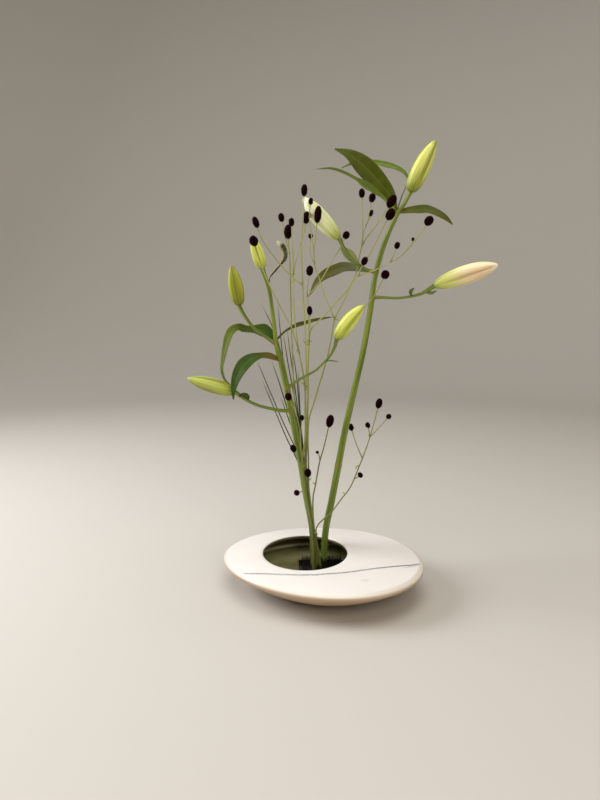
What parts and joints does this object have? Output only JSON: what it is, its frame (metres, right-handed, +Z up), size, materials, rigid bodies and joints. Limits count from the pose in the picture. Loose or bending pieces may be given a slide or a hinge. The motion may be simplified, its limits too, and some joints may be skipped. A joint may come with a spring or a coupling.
{
  "type": "ikebana arrangement",
  "caption": "Low ikebana arrangement: cut lily stems with closed buds, great burnet and rush on a pin holder in the water of a wide oval bowl with a round mouth.",
  "frame": {"origin": "Middle of the bowl's foot, on the surface the bowl stands on", "axes": "+Z up, +X to the right and +Y away from someone who looks at the front, where the taller lily leans to the right"},
  "size_m": [0.43, 0.2509, 0.654],
  "materials": {
    "glaze": "warm white satin glaze on stoneware",
    "water": "still clear water over a dark glaze",
    "lead": "dull dark lead with brass pins gone black",
    "lily_stem": "waxy green stem",
    "lily_bud": "waxy yellow green bud with pale furrows",
    "lily_leaf": "soft satin dark green leaf",
    "dry_leaf": "dry dark brown leaf",
    "burnet": "dark maroon heads of dense florets on olive stalks",
    "rush": "dark green rush with paler dry tips"
  },
  "bodies": {
    "root": {"bowl": "glaze", "water": "water", "pin_holder": "lead", "right_lily_stem": "lily_stem", "left_lily_stem": "lily_stem", "cut_stalk": "lily_stem", "right_bud_top": "lily_bud", "right_bud_left": "lily_bud", "right_bud_out": "lily_bud", "left_bud_top": "lily_bud", "left_bud_up": "lily_bud", "left_bud_inner": "lily_bud", "left_bud_low": "lily_bud", "right_leaf_tall": "lily_leaf", "right_leaf_broad": "lily_leaf", "right_leaf_long": "lily_leaf", "right_leaf_fore": "lily_leaf", "right_leaf_arched": "lily_leaf", "right_leaf_small": "lily_leaf", "left_leaf_long": "lily_leaf", "left_leaf_dark": "lily_leaf", "left_leaf_narrow": "lily_leaf", "left_leaf_bract": "lily_leaf", "withered_leaf": "dry_leaf", "burnet_fore": "burnet", "burnet_tall": "burnet", "burnet_back": "burnet", "burnet_right": "burnet", "burnet_middle": "burnet", "burnet_small": "burnet", "burnet_low": "burnet", "burnet_left": "burnet", "burnet_upright": "burnet", "rush": "rush"}
  },
  "joints": []
}
